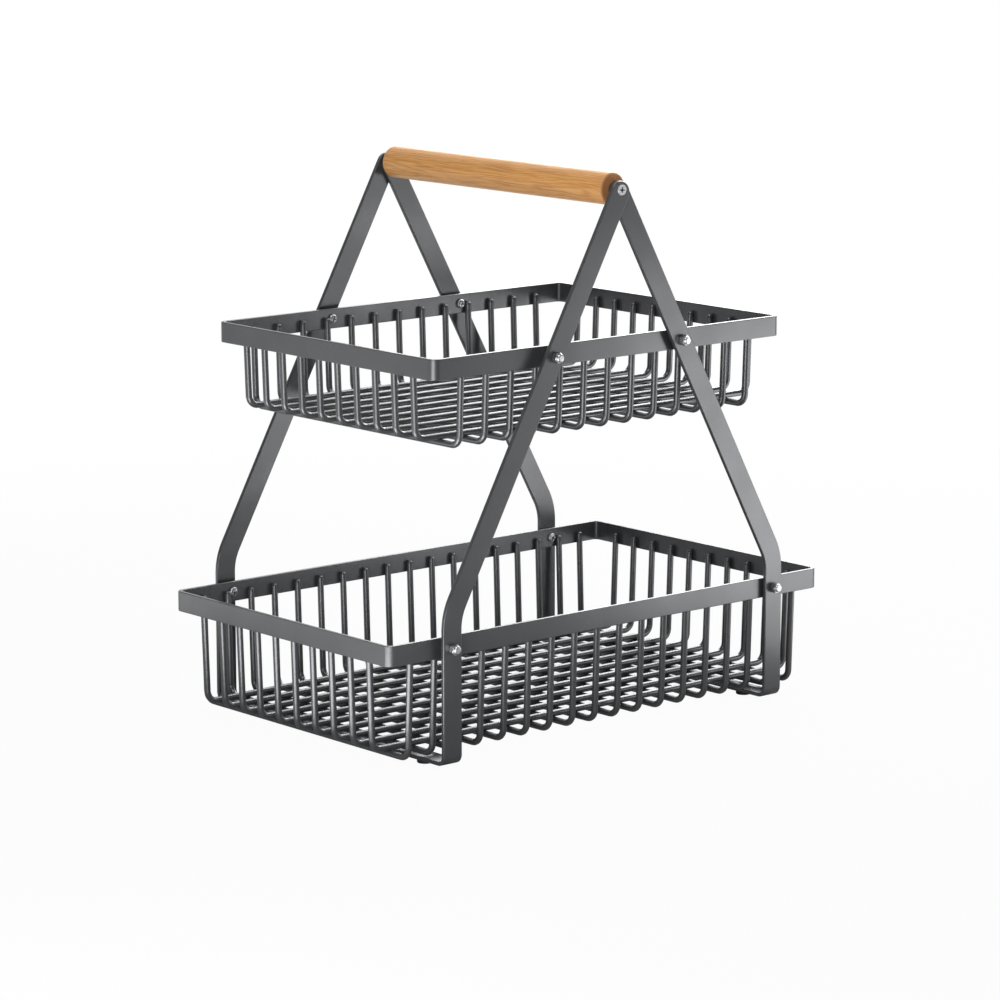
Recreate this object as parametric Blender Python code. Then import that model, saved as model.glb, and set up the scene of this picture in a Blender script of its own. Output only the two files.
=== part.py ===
"""Two-tier wire basket stand with a turned wooden grip.

Metres, +Z up. X runs along the baskets, Y across them and along the grip. The origin lies
on the ground, midway between the four feet. Each basket is a flat-bar rim that carries
U-bent wires: long wires, welded to the rim's ends, lie on cross wires that hang from its
long sides. Two strip loops pass under the lower basket, hold both rims with machine screws
and cap nuts, and meet at the ends of the grip, where one wood screw clamps each pair.
"""
import math
from collections import namedtuple

import bmesh
import bpy
from mathutils import Matrix, Vector

# Clearances
SEAT_GAP = 0.0003          # left between pieces that touch
FLOOR_CLEARANCE = 0.0015   # lower basket above the cross strips of the loops
CUT_OVERRUN = 0.001        # how far a cutter stands out of what it cuts
MERGE_DISTANCE = 0.0001    # closes the loops at the mirror plane

# Rims
RIM_HEIGHT = 0.015
RIM_THICKNESS = 0.003
RIM_CORNER_RADIUS = 0.006
RIM_CORNER_STEPS = 4

# Wires
WIRE_DIAMETER = 0.0048
WIRE_SIDES = 8
WIRE_BEND_RADIUS = 0.008
WIRE_BEND_STEPS = 3
WIRE_TIP_DROP = 0.006      # from the rim's top edge down to a wire's tip
WALL_LEAN = math.radians(2.0)
WELD_DEPTH = 0.0004        # how far a long wire's tip runs into the rim
LONG_WIRE_COUNT = 10
TIP_LENGTH_SHARE = 0.6     # of the wire's radius
TIP_WIDTH_SHARE = 0.7

# Lower basket
LOWER_DEPTH = 0.250
LOWER_CROSS_COUNT = 18
LOWER_CROSS_PITCH = 0.0218
LOWER_END_MARGIN = 0.0196  # from the last cross wire to the rim's inner face
LOWER_SIDE_MARGIN = 0.0257
LOWER_HEIGHT = 0.0867
LOWER_SCREW_WIRE = 1       # the cross wire, counted from an end, that a rim screw sits beside

# Upper basket
UPPER_CROSS_COUNT = 13
UPPER_CROSS_PITCH = 0.0229
UPPER_END_MARGIN = 0.0261
UPPER_SIDE_MARGIN = 0.025
UPPER_HEIGHT = 0.0666
UPPER_SCREW_WIRE = 3

# Strip loops
STRIP_WIDTH = 0.0165
STRIP_THICKNESS = 0.003
LOWER_STAND_OFF = 0.0013   # from the lower rim out to the inner loop
UPPER_STAND_OFF = 0.0028   # from the upper rim out to the inner loop
GRIP_STAND_OFF = 0.0033    # from the grip's end out to the inner loop
KNEE_RISE = 0.016          # knee above the lower rim's top edge
KNEE_RADIUS = 0.042        # edgewise, on the strip's centre line
KNEE_STEPS = 4
FOOT_BEND_RADIUS = 0.004   # flatwise, inside the bend at the ground
FOOT_BEND_STEPS = 4
EYE_STEPS = 8
EYE_DROP = 0.0022          # centre of the rounded end below the wood screw
SPACER_DIAMETER = 0.008    # between a loop and a rim
GRIP_SPACER_DIAMETER = 0.01
SPACER_SIDES = 10

# Grip
GRIP_RISE = 0.1058         # grip's axis above the upper rim's top edge
GRIP_DIAMETER = 0.0235
GRIP_EDGE_RADIUS = 0.0016
GRIP_EDGE_STEPS = 2
GRIP_SIDES = 24

# Wood screws in the grip's ends
WOOD_SCREW_DIAMETER = 0.0042
WOOD_SCREW_HEAD_DIAMETER = 0.0084
WOOD_SCREW_LENGTH = 0.030
WOOD_SCREW_POINT = 0.005
WOOD_SCREW_SIDES = 12
WOOD_SCREW_TIP_SHARE = 0.1 # of the shank, at the very point

# Machine screws and cap nuts in the rims
SCREW_DIAMETER = 0.004
SCREW_HEAD_DIAMETER = 0.007
SCREW_HEAD_HEIGHT = 0.0024
SCREW_HEAD_ROUNDING = 0.0012
SCREW_CROWN_STEPS = 2
SCREW_SIDE_CLEARANCE = 0.0004  # head to the wire beside it
SCREW_SIDES = 10
HOLE_SIDES = 10
NUT_SIDES = 6
NUT_ACROSS_FLATS = 0.007
NUT_HEX_HEIGHT = 0.0042
NUT_HEIGHT = 0.006
NUT_DOME_DIAMETER = 0.0062
NUT_DOME_SIDES = 10
NUT_DOME_STEPS = 2
NUT_BORE_DEPTH = 0.0046

# Feet
FOOT_DIAMETER = 0.0115
FOOT_HEIGHT = 0.003
FOOT_CHAMFER = 0.0008
FOOT_INSET = 0.031         # from the loop's outer face to the foot's centre
FOOT_SIDES = 12

# Outline smoothing
SMOOTH_ANGLE = math.radians(35.0)
QUARTER = math.radians(90.0)
HALF = math.radians(180.0)

# Materials: colour, roughness, metallic
FINISHES = {
    "graphite_coat": ((0.105, 0.107, 0.112, 1.0), 0.42, 0.55),
    "oiled_wood": ((0.58, 0.31, 0.11, 1.0), 0.48, 0.0),
    "bright_zinc": ((0.74, 0.75, 0.77, 1.0), 0.22, 1.0),
    "dark_rubber": ((0.03, 0.03, 0.032, 1.0), 0.75, 0.0),
}

# Levels worked out from the ground up
WIRE_RADIUS = WIRE_DIAMETER / 2
STRIP_UNDERSIDE = FOOT_HEIGHT + SEAT_GAP
LOWER_UNDERSIDE = STRIP_UNDERSIDE + STRIP_THICKNESS + FLOOR_CLEARANCE
LOWER_RIM_TOP = LOWER_UNDERSIDE + LOWER_HEIGHT
SCREW_TO_WIRE = SCREW_HEAD_DIAMETER / 2 + SCREW_SIDE_CLEARANCE + WIRE_RADIUS


def cross_place(count, pitch, index):
    """X of a cross wire, counted from the -X end."""
    return (index - (count - 1) / 2) * pitch


def screw_place(count, pitch, wire):
    """X of the rim screws of the +X side, just inside the wire they sit beside."""
    return -cross_place(count, pitch, wire) - SCREW_TO_WIRE


LEG_STANCE = screw_place(LOWER_CROSS_COUNT, LOWER_CROSS_PITCH, LOWER_SCREW_WIRE)
UPPER_SCREW_X = screw_place(UPPER_CROSS_COUNT, UPPER_CROSS_PITCH, UPPER_SCREW_WIRE)
LEG_SLOPE = math.atan2(UPPER_SCREW_X, GRIP_RISE + RIM_HEIGHT / 2)
KNEE_LEVEL = LOWER_RIM_TOP + KNEE_RISE
GRIP_LEVEL = KNEE_LEVEL + LEG_STANCE / math.tan(LEG_SLOPE)
UPPER_RIM_TOP = GRIP_LEVEL - GRIP_RISE
RIGHT_LOOP_Y = LOWER_DEPTH / 2 + LOWER_STAND_OFF            # inner face
LEFT_LOOP_Y = RIGHT_LOOP_Y + STRIP_THICKNESS + SEAT_GAP     # inner face
OUTERMOST_Y = LEFT_LOOP_Y + STRIP_THICKNESS
UPPER_DEPTH = 2 * (RIGHT_LOOP_Y - UPPER_STAND_OFF)
GRIP_HALF = RIGHT_LOOP_Y - GRIP_STAND_OFF

Tier = namedtuple("Tier", "name rim_top depth height cross_count cross_pitch end_margin side_margin "
                          "screw_x")
LOWER = Tier("lower", LOWER_RIM_TOP, LOWER_DEPTH, LOWER_HEIGHT, LOWER_CROSS_COUNT,
             LOWER_CROSS_PITCH, LOWER_END_MARGIN, LOWER_SIDE_MARGIN, LEG_STANCE)
UPPER = Tier("upper", UPPER_RIM_TOP, UPPER_DEPTH, UPPER_HEIGHT, UPPER_CROSS_COUNT,
             UPPER_CROSS_PITCH, UPPER_END_MARGIN, UPPER_SIDE_MARGIN, UPPER_SCREW_X)
TIERS = (LOWER, UPPER)


# Scene and object helpers

def clear_scene():
    for old in list(bpy.data.objects):
        bpy.data.objects.remove(old, do_unlink=True)


def finish_material(name):
    """The Principled material of a finish, made once."""
    material = bpy.data.materials.get(name)
    if material:
        return material
    colour, roughness, metallic = FINISHES[name]
    material = bpy.data.materials.new(name)
    material.use_nodes = True
    shader = material.node_tree.nodes["Principled BSDF"]
    shader.inputs["Base Color"].default_value = colour
    shader.inputs["Roughness"].default_value = roughness
    shader.inputs["Metallic"].default_value = metallic
    material.diffuse_color = colour
    return material


def add_object(name, bm, finish=None):
    """Closes a bmesh into a named object, smooth on its round faces."""
    bmesh.ops.recalc_face_normals(bm, faces=bm.faces)
    mesh = bpy.data.meshes.new(name)
    bm.to_mesh(mesh)
    bm.free()
    mesh.shade_smooth()
    mesh.set_sharp_from_angle(angle=SMOOTH_ANGLE)
    obj = bpy.data.objects.new(name, mesh)
    bpy.context.collection.objects.link(obj)
    if finish:
        mesh.materials.append(finish_material(finish))
    return obj


def boolean(obj, other, operation):
    """Cuts a guide from an object, or joins it on, with the exact solver."""
    modifier = obj.modifiers.new(operation.lower() + "_" + other.name, "BOOLEAN")
    modifier.operation = operation
    modifier.solver = "EXACT"
    modifier.object = other
    other.hide_render = True
    other.display_type = "WIRE"


# Sweeping a profile face through a solid

def start_disc(bm, centre, direction, radius, sides):
    """A round profile face, square to the direction that the sweep leaves in."""
    turn = direction.to_track_quat("Z", "X").to_matrix().to_4x4()
    made = bmesh.ops.create_circle(bm, cap_ends=True, segments=sides, radius=radius,
                                   matrix=Matrix.Translation(centre) @ turn)
    return made["verts"][0].link_faces[0]


def extrude(bm, face, offset):
    """Pulls a face out by an offset and returns the new end face."""
    attached = len(face.edges[0].link_faces) > 1
    made = bmesh.ops.extrude_face_region(bm, geom=[face])["geom"]
    if attached and face.is_valid:
        bm.faces.remove(face)
    verts = [item for item in made if isinstance(item, bmesh.types.BMVert)]
    bmesh.ops.translate(bm, verts=verts, vec=offset)
    return next(item for item in made if isinstance(item, bmesh.types.BMFace))


def bend(bm, face, centre, axis, angle, steps):
    """Swings a face round an axis, step by step, and returns the new end face."""
    turn = Matrix.Rotation(angle / steps, 3, axis)
    for _ in range(steps):
        face = extrude(bm, face, Vector((0, 0, 0)))
        bmesh.ops.rotate(bm, verts=face.verts, cent=centre, matrix=turn)
    return face


def narrow(bm, face, share):
    """Shrinks a face about its own centre."""
    centre = face.calc_center_median()
    bmesh.ops.scale(bm, verts=face.verts, vec=Vector((share, share, share)),
                    space=Matrix.Translation(-centre))


def turned_solid(bm, profile, sides, place):
    """Turns a profile of (along, radius) points, closed by a point or a disc at each end."""
    rings = []
    for along, radius in profile:
        ring = bmesh.ops.create_circle(bm, segments=sides, radius=radius,
                                       matrix=place @ Matrix.Translation((0, 0, along)))
        rings.append(ring["verts"])
    for near, far in zip(rings, rings[1:]):
        for k in range(sides):
            n = (k + 1) % sides
            bm.faces.new((near[k], near[n], far[n], far[k]))
    bm.faces.new(list(reversed(rings[0])))
    bm.faces.new(rings[-1])


def place_along_y(x, y, z, outwards):
    """A frame whose Z axis runs along +Y or -Y from the given point."""
    turn = Matrix.Rotation(-outwards * QUARTER, 4, "X")
    return Matrix.Translation((x, y, z)) @ turn


def arc_points(centre, radius, start, sweep, steps):
    """Points of an arc in a plane, both ends included."""
    return [(centre[0] + radius * math.cos(start + sweep * k / steps),
             centre[1] + radius * math.sin(start + sweep * k / steps)) for k in range(steps + 1)]


# Wires

def bent_wire(bm, along, across, side_place, tip, half_width, floor):
    """One U-bent wire: domed tip, leaning wall, bend, floor, and the same again upwards.

    along is the direction that the wire runs in and across the one it is placed in;
    half_width is the wall's distance from the middle at the tip.
    """
    up = Vector((0, 0, 1))
    bend_angle = QUARTER - WALL_LEAN
    setback = WIRE_BEND_RADIUS * math.tan(bend_angle / 2)
    drop = tip - floor
    floor_half = half_width - drop * math.tan(WALL_LEAN)
    down = (-up * math.cos(WALL_LEAN) - along * math.sin(WALL_LEAN)).normalized()
    start = along * half_width + across * side_place + up * tip
    corner = along * floor_half + across * side_place + up * floor
    wall_end = corner - down * setback
    floor_start = corner - along * setback
    bend_centre = floor_start + up * WIRE_BEND_RADIUS
    axis = up.cross(along)
    dome = WIRE_RADIUS * TIP_LENGTH_SHARE

    face = start_disc(bm, start, down, WIRE_RADIUS * TIP_WIDTH_SHARE, WIRE_SIDES)
    face = extrude(bm, face, down * dome)
    narrow(bm, face, 1 / TIP_WIDTH_SHARE)
    face = extrude(bm, face, wall_end - start - down * dome)
    face = bend(bm, face, bend_centre, axis, bend_angle, WIRE_BEND_STEPS)
    face = extrude(bm, face, along * (-2 * (floor_half - setback)))
    mirrored = bend_centre - along * (2 * bend_centre.dot(along))
    face = bend(bm, face, mirrored, axis, bend_angle, WIRE_BEND_STEPS)
    rise = Vector(-down)
    rise = rise - along * (2 * rise.dot(along))
    face = extrude(bm, face, rise * ((start - wall_end).length - dome))
    face = extrude(bm, face, rise * dome)
    narrow(bm, face, TIP_WIDTH_SHARE)


def cross_floor(tier):
    """Level of the cross wires' centre line at the floor."""
    return tier.rim_top - tier.height + WIRE_RADIUS


def inner_half_length(tier):
    """Half the rim's inside length."""
    return -cross_place(tier.cross_count, tier.cross_pitch, 0) + tier.end_margin


def inner_half_depth(tier):
    """Half the rim's inside depth."""
    return tier.depth / 2 - RIM_THICKNESS


def cross_wires(tier):
    """The wires that cross the basket, each a piece of its own."""
    half_width = inner_half_depth(tier) - SEAT_GAP - WIRE_RADIUS
    tip = tier.rim_top - WIRE_TIP_DROP
    for index in range(tier.cross_count):
        bm = bmesh.new()
        bent_wire(bm, Vector((0, 1, 0)), Vector((1, 0, 0)),
                  cross_place(tier.cross_count, tier.cross_pitch, index), tip, half_width,
                  cross_floor(tier))
        add_object(f"{tier.name}_cross_wire_{index + 1:02d}", bm, "graphite_coat")


def long_wire_guide(tier):
    """All the long wires of a basket in one mesh, to be welded to the rim."""
    bm = bmesh.new()
    half_width = inner_half_length(tier) - WIRE_RADIUS + WELD_DEPTH
    reach = inner_half_depth(tier) - tier.side_margin
    pitch = 2 * reach / (LONG_WIRE_COUNT - 1)
    floor = cross_floor(tier) + WIRE_DIAMETER + SEAT_GAP
    for index in range(LONG_WIRE_COUNT):
        bent_wire(bm, Vector((1, 0, 0)), Vector((0, 1, 0)), index * pitch - reach,
                  tier.rim_top - WIRE_TIP_DROP, half_width, floor)
    return add_object(f"{tier.name}_long_wires_guide", bm)


# Rims

def rounded_outline(half_x, half_y, radius):
    """Corner arcs of a rounded rectangle, counter-clockwise."""
    points = []
    corners = ((1, 1, 0), (-1, 1, 1), (-1, -1, 2), (1, -1, 3))
    for sx, sy, quarters in corners:
        centre = (sx * (half_x - radius), sy * (half_y - radius))
        points += arc_points(centre, radius, quarters * QUARTER, QUARTER, RIM_CORNER_STEPS)
    return points


def rim(tier):
    """The flat-bar rim with its long wires welded on and its screw holes cut."""
    outer_x = inner_half_length(tier) + RIM_THICKNESS
    bm = bmesh.new()
    loops = []
    for inset in (0, RIM_THICKNESS):
        outline = rounded_outline(outer_x - inset, tier.depth / 2 - inset,
                                  RIM_CORNER_RADIUS - inset)
        loops.append([bm.verts.new((x, y, tier.rim_top - RIM_HEIGHT)) for x, y in outline])
    count = len(loops[0])
    ring = []
    for k in range(count):
        n = (k + 1) % count
        ring.append(bm.faces.new((loops[0][k], loops[0][n], loops[1][n], loops[1][k])))
    made = bmesh.ops.extrude_face_region(bm, geom=ring)["geom"]
    verts = [item for item in made if isinstance(item, bmesh.types.BMVert)]
    bmesh.ops.translate(bm, verts=verts, vec=(0, 0, RIM_HEIGHT))
    obj = add_object(f"{tier.name}_rim", bm, "graphite_coat")
    boolean(obj, long_wire_guide(tier), "UNION")
    boolean(obj, screw_hole_guide(f"{tier.name}_rim_holes_guide", [tier], (-1, 1)), "DIFFERENCE")


def screw_hole_guide(name, tiers, sides):
    """Cylinders where the rim screws pass, near and far, through rims and strips."""
    bm = bmesh.new()
    outer = OUTERMOST_Y + CUT_OVERRUN
    radius = SCREW_DIAMETER / 2 + SEAT_GAP
    for tier in tiers:
        inner = inner_half_depth(tier) - CUT_OVERRUN
        for side in sides:
            for end in (-1, 1):
                place = place_along_y(side * tier.screw_x, end * inner, screw_level(tier), end)
                turned_solid(bm, [(0, radius), (outer - inner, radius)], HOLE_SIDES, place)
    return add_object(name, bm)


def screw_level(tier):
    """Height of a tier's rim screws, at the middle of the flat bar."""
    return tier.rim_top - RIM_HEIGHT / 2


# Strip loops

def leg_outline():
    """Face of one leg of the +X loop in the XZ plane, from the rounded end to the ground bend."""
    half = STRIP_WIDTH / 2
    down = Vector((math.sin(LEG_SLOPE), -math.cos(LEG_SLOPE)))
    eye = Vector((0, GRIP_LEVEL)) + down * EYE_DROP
    knee_centre_x = LEG_STANCE - KNEE_RADIUS
    knee_centre_z = KNEE_LEVEL - KNEE_RADIUS * math.tan(LEG_SLOPE / 2)
    knee_centre = (knee_centre_x, knee_centre_z)
    foot = STRIP_UNDERSIDE + STRIP_THICKNESS + FOOT_BEND_RADIUS
    points = arc_points(eye, half, LEG_SLOPE, HALF, EYE_STEPS)
    points += arc_points(knee_centre, KNEE_RADIUS - half, LEG_SLOPE, -LEG_SLOPE, KNEE_STEPS)
    points += [(LEG_STANCE - half, foot), (LEG_STANCE + half, foot)]
    points += arc_points(knee_centre, KNEE_RADIUS + half, 0, LEG_SLOPE, KNEE_STEPS)
    return points


def strip_loop(name, side, inner_y):
    """One strip loop: side is +1 for the +X loop, inner_y its inner face at the legs."""
    bm = bmesh.new()
    verts = [bm.verts.new((side * x, inner_y, z)) for x, z in leg_outline()]
    face = bm.faces.new(verts)
    extrude(bm, face, Vector((0, STRIP_THICKNESS, 0)))
    bmesh.ops.recalc_face_normals(bm, faces=bm.faces)
    foot = min(bm.faces, key=lambda item: item.calc_center_median().z)
    bend_centre = Vector((0, inner_y - FOOT_BEND_RADIUS, foot.calc_center_median().z))
    face = bend(bm, foot, bend_centre, Vector((1, 0, 0)), -QUARTER, FOOT_BEND_STEPS)
    face = extrude(bm, face, Vector((0, -bend_centre.y, 0)))
    bm.faces.remove(face)
    bmesh.ops.mirror(bm, geom=bm.verts[:] + bm.edges[:] + bm.faces[:], axis="Y",
                     merge_dist=MERGE_DISTANCE)
    return add_object(name, bm, "graphite_coat")


def spacer_guide(name, side, inner_y):
    """Spacers that carry a loop off the rims, and the inner loop off the grip's ends."""
    seats = [(side * tier.screw_x, screw_level(tier), tier.depth / 2, SPACER_DIAMETER)
             for tier in TIERS]
    if side > 0:
        seats.append((0, GRIP_LEVEL, GRIP_HALF, GRIP_SPACER_DIAMETER))
    bm = bmesh.new()
    for x, z, carried, diameter in seats:
        start = carried + SEAT_GAP
        length = inner_y + STRIP_THICKNESS / 2 - start
        for end in (-1, 1):
            turned_solid(bm, [(0, diameter / 2), (length, diameter / 2)], SPACER_SIDES,
                         place_along_y(x, end * start, z, end))
    return add_object(name, bm)


def grip_hole_guide(name):
    """Clearance holes for the wood screws, with the countersink of the outer strip."""
    bm = bmesh.new()
    radius = WOOD_SCREW_DIAMETER / 2 + SEAT_GAP
    head = WOOD_SCREW_HEAD_DIAMETER / 2 + SEAT_GAP
    profile = [(-CUT_OVERRUN, head + CUT_OVERRUN), (head - radius, radius),
               (OUTERMOST_Y - GRIP_HALF + CUT_OVERRUN, radius)]
    for end in (-1, 1):
        turned_solid(bm, profile, HOLE_SIDES, place_along_y(0, end * OUTERMOST_Y, GRIP_LEVEL, -end))
    return add_object(name, bm)


def strip_loops():
    """The +X loop lies inside the -X loop where they cross at the grip."""
    for name, side, inner_y in (("right_loop", 1, RIGHT_LOOP_Y), ("left_loop", -1, LEFT_LOOP_Y)):
        obj = strip_loop(name, side, inner_y)
        boolean(obj, spacer_guide(name + "_spacers_guide", side, inner_y), "UNION")
        boolean(obj, screw_hole_guide(name + "_holes_guide", TIERS, (side,)), "DIFFERENCE")
        boolean(obj, grip_hole_guide(name + "_grip_holes_guide"), "DIFFERENCE")


# Grip

def grip():
    """Turned wooden bar with rounded ends and a pilot hole for each wood screw."""
    bm = bmesh.new()
    radius = GRIP_DIAMETER / 2
    shoulder = GRIP_HALF - GRIP_EDGE_RADIUS
    round_end = arc_points((shoulder, radius - GRIP_EDGE_RADIUS), GRIP_EDGE_RADIUS, QUARTER,
                           -QUARTER, GRIP_EDGE_STEPS)
    profile = [(-along, r) for along, r in reversed(round_end)] + round_end
    turned_solid(bm, profile, GRIP_SIDES, place_along_y(0, 0, GRIP_LEVEL, 1))
    obj = add_object("wooden_grip", bm, "oiled_wood")
    holes = bmesh.new()
    bore = WOOD_SCREW_DIAMETER / 2 + SEAT_GAP
    depth = wood_screw_reach() + SEAT_GAP
    for end in (-1, 1):
        place = place_along_y(0, end * GRIP_HALF, GRIP_LEVEL, -end)
        turned_solid(holes, [(-CUT_OVERRUN, bore), (depth, bore)], HOLE_SIDES, place)
    boolean(obj, add_object("wooden_grip_holes_guide", holes), "DIFFERENCE")


def wood_screw_reach():
    """How deep a wood screw's point lies in the grip."""
    return WOOD_SCREW_LENGTH - (OUTERMOST_Y - GRIP_HALF)


def wood_screws():
    """Countersunk screws, flush with the outer strip."""
    radius = WOOD_SCREW_DIAMETER / 2
    head = WOOD_SCREW_HEAD_DIAMETER / 2
    profile = [(0, head), (head - radius, radius), (WOOD_SCREW_LENGTH - WOOD_SCREW_POINT, radius),
               (WOOD_SCREW_LENGTH, radius * WOOD_SCREW_TIP_SHARE)]
    for name, end in (("near", -1), ("far", 1)):
        bm = bmesh.new()
        turned_solid(bm, profile, WOOD_SCREW_SIDES,
                     place_along_y(0, end * OUTERMOST_Y, GRIP_LEVEL, -end))
        add_object(f"grip_screw_{name}", bm, "bright_zinc")


# Rim screws and cap nuts

def nut_seat(side):
    """Distance from the middle to the face that a cap nut bears on, with its gap."""
    loop = RIGHT_LOOP_Y if side > 0 else LEFT_LOOP_Y
    return loop + STRIP_THICKNESS + SEAT_GAP


def rim_screw(name, tier, side, end):
    """Pan head inside the rim, shank through rim and strip into the cap nut."""
    bm = bmesh.new()
    seat = inner_half_depth(tier) - SEAT_GAP
    head = SCREW_HEAD_DIAMETER / 2
    crown = arc_points((-SCREW_HEAD_HEIGHT + SCREW_HEAD_ROUNDING, head - SCREW_HEAD_ROUNDING),
                       SCREW_HEAD_ROUNDING, HALF, -QUARTER, SCREW_CROWN_STEPS)
    shank = nut_seat(side) + NUT_BORE_DEPTH - SEAT_GAP - seat
    radius = SCREW_DIAMETER / 2
    profile = crown + [(0, head), (0, radius), (shank, radius)]
    turned_solid(bm, profile, SCREW_SIDES,
                 place_along_y(side * tier.screw_x, end * seat, screw_level(tier), end))
    add_object(name, bm, "bright_zinc")


def cap_nut(name, tier, side, end):
    """Hexagon with a domed end and a blind bore."""
    place = place_along_y(side * tier.screw_x, end * nut_seat(side), screw_level(tier), end)
    bm = bmesh.new()
    corner = NUT_ACROSS_FLATS / 2 / math.cos(HALF / NUT_SIDES)
    turned_solid(bm, [(0, corner), (NUT_HEX_HEIGHT, corner)], NUT_SIDES, place)
    obj = add_object(name, bm, "bright_zinc")
    dome = bmesh.new()
    dome_radius = NUT_DOME_DIAMETER / 2
    rise = NUT_HEIGHT - NUT_HEX_HEIGHT
    arc = [(NUT_HEX_HEIGHT + rise * math.sin(QUARTER * k / NUT_DOME_STEPS),
            dome_radius * math.cos(QUARTER * k / (NUT_DOME_STEPS + 1)))
           for k in range(NUT_DOME_STEPS + 1)]
    turned_solid(dome, [(NUT_HEX_HEIGHT / 2, dome_radius)] + arc, NUT_DOME_SIDES, place)
    boolean(obj, add_object(name + "_dome_guide", dome), "UNION")
    bore = bmesh.new()
    bore_radius = SCREW_DIAMETER / 2 + SEAT_GAP
    turned_solid(bore, [(-CUT_OVERRUN, bore_radius), (NUT_BORE_DEPTH, bore_radius)],
                 NUT_DOME_SIDES, place)
    boolean(obj, add_object(name + "_bore_guide", bore), "DIFFERENCE")


def rim_fasteners():
    for tier in TIERS:
        for side_name, side in (("left", -1), ("right", 1)):
            for end_name, end in (("near", -1), ("far", 1)):
                place = f"{tier.name}_{side_name}_{end_name}"
                rim_screw(f"rim_screw_{place}", tier, side, end)
                cap_nut(f"cap_nut_{place}", tier, side, end)


# Feet

def feet():
    """Rubber discs under the cross strips."""
    radius = FOOT_DIAMETER / 2
    profile = [(0, radius - FOOT_CHAMFER), (FOOT_CHAMFER, radius), (FOOT_HEIGHT, radius)]
    for side_name, side, inner_y in (("left", -1, LEFT_LOOP_Y), ("right", 1, RIGHT_LOOP_Y)):
        y = inner_y + STRIP_THICKNESS - FOOT_INSET
        for end_name, end in (("near", -1), ("far", 1)):
            bm = bmesh.new()
            turned_solid(bm, profile, FOOT_SIDES, Matrix.Translation((side * LEG_STANCE, end * y, 0)))
            add_object(f"foot_{side_name}_{end_name}", bm, "dark_rubber")


def main():
    clear_scene()
    for tier in TIERS:
        rim(tier)
        cross_wires(tier)
    strip_loops()
    grip()
    wood_screws()
    rim_fasteners()
    feet()


main()
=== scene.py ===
"""Dresses the two-tier wire basket stand: welded wires, rounded flat bar, turned grip.

Metres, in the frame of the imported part. Places are read from the part's nodes, and the sizes
and colours that a maker would change are in the property groups.
"""

import math
from collections import namedtuple
from functools import partialmethod

import bmesh
import bpy
from mathutils import Matrix, Vector


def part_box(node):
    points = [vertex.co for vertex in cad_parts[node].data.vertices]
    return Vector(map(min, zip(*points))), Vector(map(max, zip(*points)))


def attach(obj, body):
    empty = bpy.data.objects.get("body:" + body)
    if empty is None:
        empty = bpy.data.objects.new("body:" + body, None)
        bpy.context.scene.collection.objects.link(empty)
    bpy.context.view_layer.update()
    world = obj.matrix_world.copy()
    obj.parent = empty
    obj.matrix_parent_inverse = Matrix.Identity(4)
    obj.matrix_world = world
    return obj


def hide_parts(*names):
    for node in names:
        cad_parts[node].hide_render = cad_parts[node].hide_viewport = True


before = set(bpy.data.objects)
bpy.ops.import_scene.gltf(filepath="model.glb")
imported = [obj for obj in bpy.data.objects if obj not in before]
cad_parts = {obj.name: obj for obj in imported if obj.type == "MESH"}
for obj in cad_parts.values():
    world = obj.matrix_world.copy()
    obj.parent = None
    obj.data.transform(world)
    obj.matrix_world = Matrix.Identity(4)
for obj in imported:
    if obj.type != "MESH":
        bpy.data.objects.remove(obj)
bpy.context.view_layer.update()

bl_info = {
    "name": "Wire Basket Stand",
    "version": (1, 0, 0),
    "blender": (4, 5, 0),
    "location": "3D View > Sidebar > Basket Stand",
    "description": "Models a two-tier wire basket stand around its packed part",
    "category": "Add Mesh",
}

BODY = "root"
QUARTER = math.radians(90.0)
HALF = math.radians(180.0)
MERGE = 1e-6
OUTLINE_ANGLE = math.radians(40.0)   # sharper edges are rounded, or shaded as edges


# Places read from the part

Tier = namedtuple("Tier", "name rim_top half_length half_depth cross_places cross_floor tip_level "
                          "screw_x screw_level")


def middle(node):
    """Centre of a node's box."""
    low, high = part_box(node)
    return (low + high) / 2


def node_names(start):
    """Nodes whose names begin alike, in order."""
    return sorted(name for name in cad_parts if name.startswith(start))


def read_tier(name):
    """Places of one basket."""
    low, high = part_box(f"{name}_rim")
    wires = node_names(f"{name}_cross_wire_")
    wire_low, wire_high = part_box(wires[0])
    radius = (wire_high.x - wire_low.x) / 2
    nut = middle(f"cap_nut_{name}_right_near")
    return Tier(name, high.z, high.x, high.y, [middle(wire).x for wire in wires],
                wire_low.z + radius, wire_high.z, nut.x, nut.z)


LOWER = read_tier("lower")
UPPER = read_tier("upper")
TIERS = (LOWER, UPPER)
SIDES = (("left", -1), ("right", 1))
ENDS = (("near", -1), ("far", 1))
GRIP_AXIS = middle("wooden_grip")
GRIP_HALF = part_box("wooden_grip")[1].y
STRIP_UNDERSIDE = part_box("left_loop")[0].z
LOOP_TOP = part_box("left_loop")[1].z
LOOP_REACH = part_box("right_loop")[1].x
LOOP_FACE = {"left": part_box("left_loop")[1].y, "right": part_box("right_loop")[1].y}
NUT_SEAT = {side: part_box(f"cap_nut_lower_{side}_far")[0].y for side in ("left", "right")}
FOOT_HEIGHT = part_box("foot_left_near")[1].z


# Sizes and colours that a maker would change

def number(title, note, value, **kind):
    return bpy.props.FloatProperty(name=title, description=note, default=value, **kind)


def length(title, note, value):
    return number(title, note, value, unit="LENGTH", precision=5, min=0.0)


def degrees(title, note, value):
    return number(title, note, math.radians(value), subtype="ANGLE")


def power(title, note, watts):
    return number(title, note, watts, unit="POWER", min=0.0)


def brightness(title, note, value):
    return number(title, note, value, min=0.0)


def colour(title, note, value):
    return bpy.props.FloatVectorProperty(name=title, description=note, default=value, size=3,
                                         subtype="COLOR", min=0.0, max=1.0)


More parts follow.
